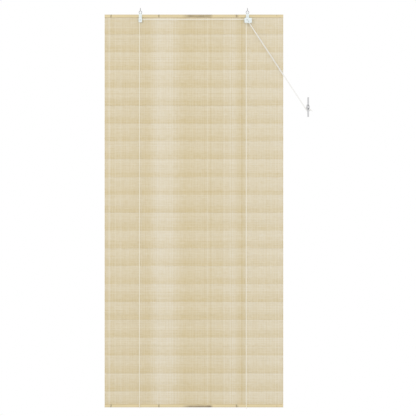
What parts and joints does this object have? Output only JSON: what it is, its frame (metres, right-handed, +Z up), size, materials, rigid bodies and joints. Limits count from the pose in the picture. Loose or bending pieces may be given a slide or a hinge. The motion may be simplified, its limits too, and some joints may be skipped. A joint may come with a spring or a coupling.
{
  "type": "bamboo roll up blind",
  "caption": "Let-down reed blind hung from two screw eyes, with a pulley, a cord lock, lift cords behind and in front of the mat, and pull cords held on a wall cleat.",
  "frame": {"origin": "midway between the two screw eyes, on the ceiling plane that they are screwed up to", "axes": "+X to the right as seen from the room, +Y towards the wall, +Z up"},
  "size_m": [1.1667, 0.0573, 2.2469],
  "materials": {
    "reeds": "matte",
    "slats": "glossy",
    "cord": "matte",
    "housing": "satin",
    "wheels": "satin",
    "cam": "satin",
    "cleat": "satin",
    "zinc": "polished",
    "nails": "satin",
    "axles": "satin",
    "screws": "satin"
  },
  "bodies": {
    "head": {"cleat": "cleat", "cleat_screws": "screws", "cord_end_knot": "cord", "cord_knot_left": "cord", "cord_knot_right": "cord", "cross_cord": "cord", "head_back_slat": "slats", "head_front_slat": "slats", "head_pins": "nails", "lift_cord_left_back": "cord", "lift_cord_left_front": "cord", "lift_cord_right_back": "cord", "lift_cord_right_front": "cord", "lock_cam_pin": "axles", "lock_cord_top": "cord", "lock_housing": "housing", "lock_wheel_axle": "axles", "pull_cord_left": "cord", "pull_cord_right": "cord", "pulley_axle": "axles", "pulley_housing": "housing", "reed_mat": "reeds", "screw_eye_left": "zinc", "screw_eye_right": "zinc", "strap_rivet_left": "nails", "strap_rivet_right": "nails"},
    "lift_bights": {"lift_cord_left_bight": "cord", "lift_cord_right_bight": "cord"},
    "bottom_batten": {"bottom_front_slat": "slats", "bottom_back_slat": "slats", "bottom_pins": "nails"},
    "pulley_wheel": {"pulley_wheel": "wheels"},
    "lock_wheel_back": {"lock_wheel_back": "wheels"},
    "lock_wheel_front": {"lock_wheel_front": "wheels"},
    "lock_cam": {"lock_cam": "cam"}
  },
  "joints": [
    {"name": "raise", "type": "slide", "parent": "head", "child": "lift_bights", "axis": [0, 0, 1], "range_m": [0, 2.05], "deforming": ["reed_mat", "lift_cord_left_front", "lift_cord_right_front", "lift_cord_left_back", "lift_cord_right_back"]},
    {"name": "roll", "type": "hinge", "parent": "lift_bights", "child": "bottom_batten", "pos_m": [0, 0, -2.216], "axis": [-1, 0, 0], "range_deg": [0, 4680]},
    {"name": "pulley_wheel_spin", "type": "hinge", "parent": "head", "child": "pulley_wheel", "pos_m": [-0.3005, -0.0121, -0.056], "axis": [0, 1, 0], "continuous": true},
    {"name": "lock_wheel_back_spin", "type": "hinge", "parent": "head", "child": "lock_wheel_back", "pos_m": [0.2975, -0.0121, -0.056], "axis": [0, 1, 0], "continuous": true},
    {"name": "lock_wheel_front_spin", "type": "hinge", "parent": "head", "child": "lock_wheel_front", "pos_m": [0.2975, -0.017, -0.056], "axis": [0, 1, 0], "continuous": true},
    {"name": "lock_cam_pinch", "type": "hinge", "parent": "head", "child": "lock_cam", "pos_m": [0.316, -0.0145, -0.059], "axis": [0, 1, 0], "range_deg": [0, 28]}
  ],
  "couplings": [
    {"joint": "roll", "follows": "raise", "rad_per_m": 39.845},
    {"joint": "pulley_wheel_spin", "follows": "raise", "rad_per_m": 444.44},
    {"joint": "lock_wheel_back_spin", "follows": "raise", "rad_per_m": 444.44},
    {"joint": "lock_wheel_front_spin", "follows": "raise", "rad_per_m": 444.44}
  ]
}
